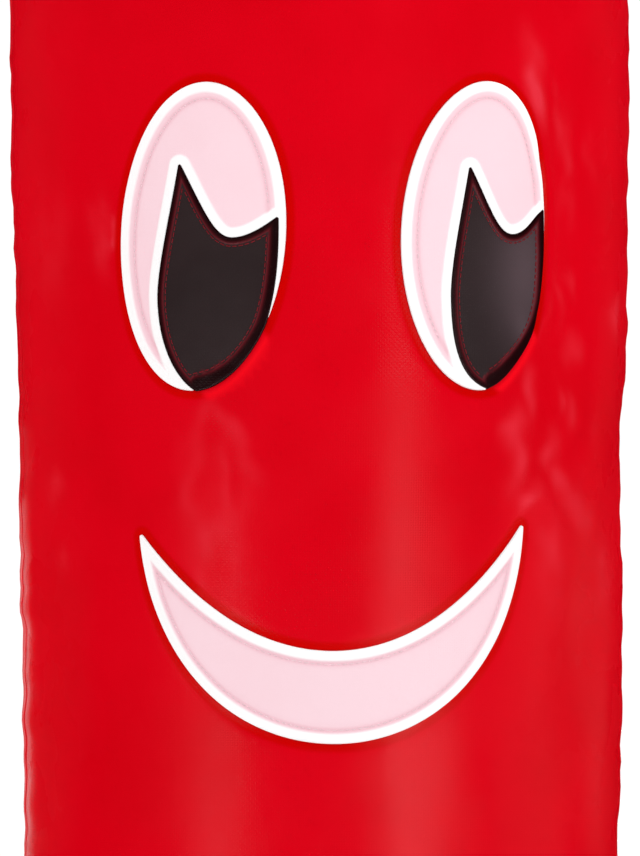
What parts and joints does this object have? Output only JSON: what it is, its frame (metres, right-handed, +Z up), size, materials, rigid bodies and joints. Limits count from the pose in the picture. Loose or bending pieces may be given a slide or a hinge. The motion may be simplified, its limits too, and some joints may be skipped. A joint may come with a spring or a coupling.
{
  "type": "inflatable air dancer",
  "caption": "Upright cloth tube that a blower fills from below, with sleeve arms, strip hair and fingers, and a sewn-on smiling face.",
  "frame": {"origin": "on the floor, at the middle of the foot", "axes": "+Z up the tube, the face looks along -Y, +X to the viewer's right"},
  "size_m": [1.6985, 0.5908, 3.0465],
  "materials": {
    "red_nylon": "coated nylon taffeta, soft sheen",
    "white_nylon": "thin white nylon with the red showing faintly through",
    "black_nylon": "thin black nylon, soft sheen"
  },
  "bodies": {
    "root": {"front_panel": "red_nylon", "back_panel": "red_nylon", "base_cuff": "red_nylon", "arm_left": "red_nylon", "arm_right": "red_nylon", "hand_fringe_left": "red_nylon", "hand_fringe_right": "red_nylon", "hair_fringe": "red_nylon", "eye_white_left": "white_nylon", "eye_white_right": "white_nylon", "pupil_left": "black_nylon", "pupil_right": "black_nylon", "mouth": "white_nylon"}
  },
  "joints": []
}
